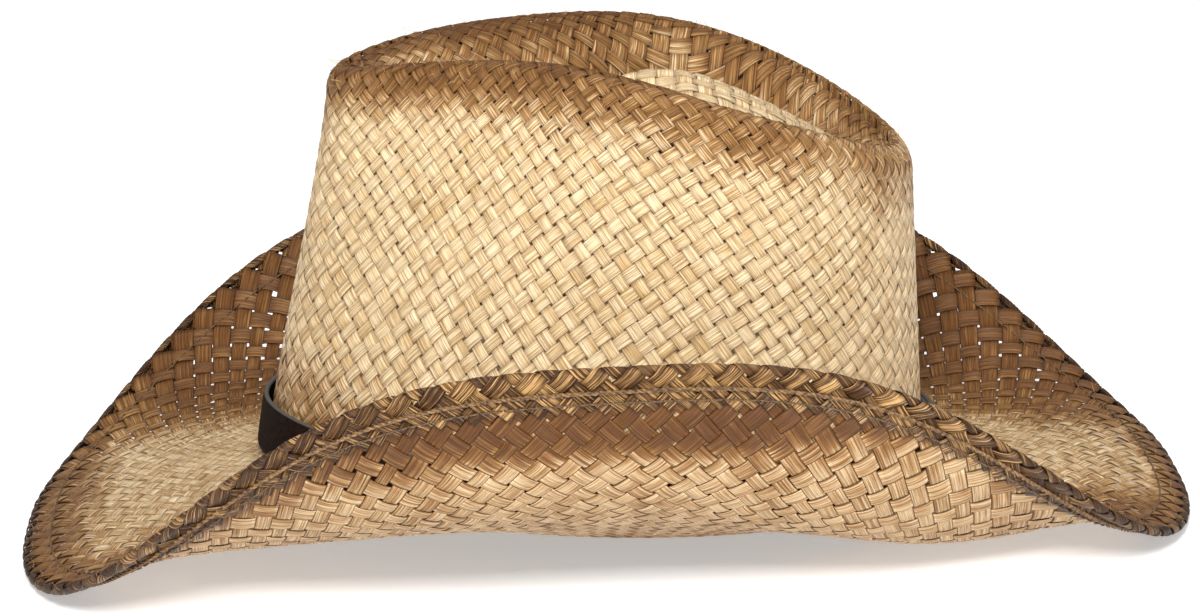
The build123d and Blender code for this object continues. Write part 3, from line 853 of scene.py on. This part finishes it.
thread_finish = Finish("dark_thread", Roughness=0.6)
ply = thread_finish.noise(thread_finish.place(), 1500, 2.0)
raised = thread_finish.level(ply, 0.35, 0.65)
thread_finish.colour(
    thread_finish.blend(raised, (0.05, 0.026, 0.012, 1), (0.15, 0.085, 0.035, 1))
)
thread_finish.relief(ply, 0.0002, 0.5)
thread = thread_finish.material
stitch_count = round(EDGE_PERIMETER / STITCH)
under_stitches = stitches(under_row, stitch_count, UNDER_REST, DIVE)
upper_stitches = stitches(upper_row, stitch_count, UPPER_REST, DIVE)
points, faces = joined([under_stitches, upper_stitches])
row = put_in_place("hem_stitches", points, faces, thread)
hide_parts("hem_stitching")

# ---------------------------------------------------------------------------------------------
# Sweatband. Ribbed cotton tape, standing up against the inside of the crown and machined to the
# break, with its ends under a sewn tab at the back.
# ---------------------------------------------------------------------------------------------
STRAW = 1.6  # thickness of the plait
SWEATBAND_HEIGHT, SWEATBAND_THICK = 32.0, 1.2
TAB_FOOT, TAB_TOP, TAB_THICK = 3.0, 31.0, 0.8
SWEAT_STITCHES, SWEAT_ROW_UP = 180, 2.4


def up_the_wall(angle, up, outward):
    """Point this far up the wall from the break and this far outside its middle."""
    s = up / wall_length(angle)
    r, z = crown_wall(angle, s)
    r0, z0 = crown_wall(angle, s - 1e-3)
    r1, z1 = crown_wall(angle, s + 1e-3)
    length = np.hypot(r1 - r0, z1 - z0)
    r, z = r + outward * (z1 - z0) / length, z - outward * (r1 - r0) / length
    return np.stack([CROWN_AXIS_X + r * np.cos(angle), r * np.sin(angle), z], -1)


def band_round(profile, angles, closed=True):
    """Closed outline of (up, out) values at each angle, carried round the crown."""
    up, out = profile(angles)
    points = up_the_wall(np.broadcast_to(angles[:, None], up.shape), up, out).reshape(-1, 3)
    return points, ring_faces(len(angles), up.shape[1], closed)


def rounded_outline(bottom, top, inner, outer, edge_points=5, face_points=10):
    """Outline of a flat band with half-round edges, as two arrays of (up, out)."""
    half, middle = (outer - inner) / 2, (outer + inner) / 2
    turn = np.linspace(-np.pi / 2, np.pi / 2, edge_points)
    rise = np.linspace(bottom + half, top - half, face_points)[1:-1]
    flat = np.full(len(rise), half)
    round_up, round_out = half * np.cos(turn), half * np.sin(turn)
    up = np.concatenate([top - half + round_up, rise[::-1], bottom + half - round_up, rise])
    return up, middle + np.concatenate([round_out, flat, -round_out, -flat])


def sweatband_profile(angles):
    """The tape's outline; its free edge leans a little by two sines of the turn, as slack."""
    outside = -STRAW / 2 - 0.45
    up, out = rounded_outline(1.0, 1.0 + SWEATBAND_HEIGHT, outside - SWEATBAND_THICK + 0.15, outside)
    slack = 0.22 * np.sin(9 * angles) + 0.15 * np.sin(23 * angles + 1)
    lean = np.clip((up - 12) / 20, 0, 1)
    return np.broadcast_to(up, (len(angles), len(up))), out + np.minimum(slack, 0.05)[:, None] * lean


points, faces = band_round(sweatband_profile, np.linspace(0, 2 * np.pi, 480, endpoint=False))
tape_finish = Finish("cotton_tape", Roughness=0.85, Sheen_Weight=0.25)
ribs = tape_finish.tree.nodes.new("ShaderNodeTexWave")
ribs.bands_direction = "Z"
ribs.inputs["Scale"].default_value = 260
ribs.inputs["Distortion"].default_value = 1.5
tape_finish.put(tape_finish.place(), ribs.inputs["Vector"])
fluff = tape_finish.noise(tape_finish.place(), 1200, 2.0)
shown = tape_finish.sum_of("MULTIPLY", ribs.outputs["Fac"], fluff)
tape_finish.colour(tape_finish.blend(shown, (0.45, 0.32, 0.18, 1), (0.62, 0.5, 0.33, 1)))
tape_finish.relief(ribs.outputs["Fac"], 0.0004, 0.8)
tape = tape_finish.material
sweatband = put_in_place("sweatband_tape", points, faces, tape)
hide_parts("sweatband")

tab_half = 8.0 / float(head_oval(0.0, CROWN_AXIS_X))


def tab_profile(angles):
    """The tab's outline, drawn in towards its ends by the sixth power of the turn."""
    outside = -STRAW / 2 - 0.3 - SWEATBAND_THICK - 0.1
    up, out = rounded_outline(TAB_FOOT, TAB_TOP, outside - TAB_THICK, outside)
    middle = (TAB_FOOT + TAB_TOP) / 2
    squeeze = 1 - 0.16 * np.abs(angles / tab_half) ** 6
    return middle + (up - middle) * squeeze[:, None], np.broadcast_to(out, (len(angles), len(out)))


tab_angles = np.linspace(-tab_half, tab_half, 25)
points, faces = band_round(tab_profile, tab_angles, closed=False)
tab = put_in_place("sweatband_tab_sewn", points, faces, tape)
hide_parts("sweatband_tab")


def sweat_row(share, out):
    """The row that holds the tape's foot, out from its outer face towards the head."""
    up = np.full(share.shape, SWEAT_ROW_UP)
    return up_the_wall(foot_angle(share), up, -STRAW / 2 - 0.3 - out)


points, faces = stitches(sweat_row, SWEAT_STITCHES, SWEATBAND_THICK + 0.2, 0.9)
row = put_in_place("sweatband_stitches", points, faces, thread)
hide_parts("sweatband_stitching")

# ---------------------------------------------------------------------------------------------
# Loose fibres. Where the plait is bent sharply, at the ridge and at the folded edge, hair-thin
# fibres split from the straws and stand a little off them.
# ---------------------------------------------------------------------------------------------
FIBRE_R = 0.09


def fibres_from(root, ahead, away, length):
    """Fibres that leave root along ahead and curl away as the square of the distance run."""
    run = np.linspace(0, 1, 6)[None, :, None]
    line = root[:, None] + length[:, None, None] * (ahead[:, None] * run + away[:, None] * run**2)
    parts = [tube_along(one, FIBRE_R * np.linspace(1, 0.4, 6), 4, closed=False) for one in line]
    return joined(parts)


def unit(vectors):
    """The vectors at length 1."""
    return vectors / np.linalg.norm(vectors, axis=-1, keepdims=True)


def loose_fibres(count, at, lift):
    """count fibres on the surface at(u, v), v spread within one row, leaning in random ways."""
    u = rng.uniform(0, 1, count)
    v = rng.uniform(0, 1, count)
    here, on, over = at(u, v), at(u + 0.002, v), at(u, v + 0.02)
    round_, across = unit(on - here), unit(over - here)
    out = unit(np.cross(round_, across))
    out *= np.sign(lift)
    lean = rng.uniform(-1, 1, (2, count, 1))
    ahead = unit(round_ * lean[0] + across * lean[1] + 0.25 * out)
    away = 0.7 * out + 0.5 * round_ * rng.uniform(-1, 1, (count, 1))
    return fibres_from(here + abs(lift) * out, ahead, away, rng.uniform(1.2, 3.6, count))


def on_ridge(u, v):
    """Point on the ridge's rounding."""
    return crown_side(8 * u, 0.02 + 0.2 * v)


def on_edge(u, v):
    """Point on the folded edge and the hem."""
    inward, height = hem_profile(1.0 + 9 * v)
    return near_edge(edge_turn(u), inward, height)


ON_RIDGE, ON_EDGE = 170, 230
points, faces = joined(
    [loose_fibres(ON_RIDGE, on_ridge, -0.5), loose_fibres(ON_EDGE, on_edge, 0.5)]
)
fibre_finish = Finish("fibre", Roughness=0.5)
darker = fibre_finish.noise(fibre_finish.place(), 60.0)
fibre_finish.colour(fibre_finish.blend(darker, (0.75, 0.5, 0.22, 1), (0.35, 0.19, 0.07, 1)))
put_in_place("loose_fibres", points, faces, fibre_finish.material)

# ---------------------------------------------------------------------------------------------
# Hatband. One strap of dark leather with dyed edges, laid round the foot of the crown, its ends
# lapped at the back and held by two domed rivets. Only its fit holds it to the hat.
# ---------------------------------------------------------------------------------------------
BAND_FOOT, BAND_WIDTH, BAND_THICK = 3.0, 16.5, 1.7
BAND_INSIDE = STRAW / 2 + 1.25
back_radius = float(head_oval(0.0, CROWN_AXIS_X))
LAP_TURN = 22.0 / back_radius
RAMP_TURN = 0.25  # the second end climbs onto the first within this turn


def strap_profile(angles):
    """The strap's second end rises over its first by one thickness before the lap."""
    up, out = rounded_outline(BAND_FOOT, BAND_FOOT + BAND_WIDTH, BAND_INSIDE, BAND_INSIDE + BAND_THICK, 7)
    start, end = -LAP_TURN, 2 * np.pi + LAP_TURN
    rise = np.clip((angles - (2 * np.pi - LAP_TURN - 0.22)) / 0.2, 0, 1)
    rise = rise * rise * (3 - 2 * rise) * (BAND_THICK + 0.12)
    middle = BAND_FOOT + BAND_WIDTH / 2
    to_end = np.minimum(angles - start, end - angles) * back_radius
    tip = np.sqrt(np.clip(1 - (1 - np.clip(to_end / 4, 0, 1)) ** 2, 0.35, 1))
    tip = np.where(rise > 0, tip, 1) * np.where(rise > 0, 0.985, 1)
    return middle + (up - middle) * tip[:, None], out + rise[:, None]


LAP_FINE = np.linspace(0, 1, 24)
angles = np.concatenate(
    [
        -LAP_TURN + 2 * LAP_TURN * LAP_FINE[:-1],
        np.linspace(LAP_TURN, 2 * np.pi - LAP_TURN - RAMP_TURN, 340)[:-1],
        2 * np.pi - LAP_TURN - RAMP_TURN + RAMP_TURN * LAP_FINE[:-1],
        2 * np.pi - LAP_TURN + 2 * LAP_TURN * LAP_FINE[:-1],
        2 * np.pi + LAP_TURN - np.array([0.025, 0.016, 0.008, 0.003, 0.0]) * 0.6,
    ]
)
angles = np.sort(angles)
points, faces = band_round(strap_profile, angles, closed=False)
section_up = rounded_outline(0.0, BAND_WIDTH, 0.0, BAND_THICK, 7)[0]
cut = np.maximum(fade(BAND_WIDTH - section_up, 0.3, 0.8), fade(section_up, 0.3, 0.8))
leather = Finish("dark_leather", Roughness=0.75, Specular_IOR_Level=0.05)
pores = leather.tree.nodes.new("ShaderNodeTexVoronoi")
pores.inputs["Scale"].default_value = 1300
leather.put(leather.place(), pores.inputs["Vector"])
creases = leather.noise(leather.stretch(leather.place(), (1, 1, 2.4)), 240, 4.0, 0.65)
scuffs = leather.noise(leather.place(), 60, 4.0, 0.7)
creased, scuffed = leather.level(creases, 0.3, 0.7), leather.level(scuffs, 0.55, 0.75, 0.0, 0.3)
hide = leather.blend(creased, (0.0062, 0.0026, 0.0014, 1), (0.016, 0.007, 0.004, 1))
hide = leather.blend(scuffed, hide, (0.045, 0.027, 0.017, 1))
leather.colour(leather.blend(leather.mark("cut"), hide, (0.1, 0.09, 0.082, 1)))
leather.relief(leather.sum_of("ADD", pores.outputs["Distance"], creases), 0.0004, 0.5)
marks = {"cut": np.tile(cut, len(angles))}
strap = put_in_place(
    "hatband_leather", points, faces, leather.material, "hatband", marks
)
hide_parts("hatband_strap")
refinish("hatband_rivets", metal_finish("aged_brass", (0.5, 0.36, 0.16), (0.2, 0.13, 0.06), 0.35, 500))

# ---------------------------------------------------------------------------------------------
# Studio. A pale seamless floor and three soft lights, in front of the hat's left side and above
# it. The camera stands off that side, a little above the brim and a little tilted.
# ---------------------------------------------------------------------------------------------
floor_mesh = bpy.data.meshes.new("floor")
REACH, DROP = 6.0, 0.0006
ways = ((-1, -1), (1, -1), (1, 1), (-1, 1))
floor_mesh.from_pydata([(REACH * x, REACH * y, -DROP) for x, y in ways], [], [(0, 1, 2, 3)])
floor = bpy.data.objects.new("floor", floor_mesh)
bpy.context.scene.collection.objects.link(floor)
floor_finish = Finish("pale_floor", Roughness=0.9, Emission_Color=(1, 1, 1, 1), Emission_Strength=0.38)
mottle = floor_finish.noise(floor_finish.place(), 3.0)
floor_finish.colour(floor_finish.blend(mottle, (0.88, 0.88, 0.88, 1), (0.92, 0.92, 0.92, 1)))
floor_mesh.materials.append(floor_finish.material)

world = bpy.data.worlds.new("studio")
bpy.context.scene.world = world
world.use_nodes = True
light_path = world.node_tree.nodes.new("ShaderNodeLightPath")
strength = world.node_tree.nodes.new("ShaderNodeMath")
strength.operation = "MULTIPLY_ADD"
SKY, SEEN = 0.34, 1.0  # what the sky lights by, and how bright it looks behind the hat
strength.inputs[1].default_value, strength.inputs[2].default_value = SEEN - SKY, SKY
world.node_tree.links.new(light_path.outputs["Is Camera Ray"], strength.inputs[0])
sky = world.node_tree.nodes["Background"]
sky.inputs["Color"].default_value = (1, 1, 1, 1)
world.node_tree.links.new(strength.outputs[0], sky.inputs["Strength"])
bpy.context.scene.view_settings.view_transform = "Standard"


def softbox(name, place, aim, size, power):
    """Square area light at place, turned to face aim."""
    lamp = bpy.data.lights.new(name, "AREA")
    lamp.size, lamp.energy = size, power
    lit = bpy.data.objects.new(name, lamp)
    lit.location = place
    lit.rotation_euler = (Vector(aim) - Vector(place)).to_track_quat("-Z", "Y").to_euler()
    bpy.context.scene.collection.objects.link(lit)


MIDDLE = (0.0, 0.0, 0.07)
softbox("key", (-0.1, -1.3, 0.9), MIDDLE, 0.35, 26.5)
softbox("fill", (0.8, -1.3, 0.3), MIDDLE, 0.8, 5)
softbox("top", (0.2, 0.5, 1.5), MIDDLE, 0.8, 8)

CAMERA_TARGET = Vector((0.0016, 0.0, 0.0653))
CAMERA_DISTANCE = 1.6
ELEVATION, AZIMUTH, ROLL = radians(14.5), radians(-1.67), radians(-2.54)
SENSOR_WIDTH, FOCAL_SHARE = 36.0, 4.205833
level_back = Vector((sin(AZIMUTH), -cos(AZIMUTH), 0))
back = cos(ELEVATION) * level_back + Vector((0, 0, sin(ELEVATION)))
right = (-back).cross(Vector((0, 0, 1))).normalized()
up = right.cross(-back)
camera_x = cos(ROLL) * right + sin(ROLL) * up
camera_y = -sin(ROLL) * right + cos(ROLL) * up
lens = bpy.data.cameras.new("camera")
lens.sensor_width = SENSOR_WIDTH
lens.lens = SENSOR_WIDTH * FOCAL_SHARE
camera = bpy.data.objects.new("camera", lens)
place = Matrix((camera_x, camera_y, back)).transposed().to_4x4()
place.translation = CAMERA_TARGET + back * CAMERA_DISTANCE
camera.matrix_world = place
bpy.context.scene.collection.objects.link(camera)
bpy.context.scene.camera = camera
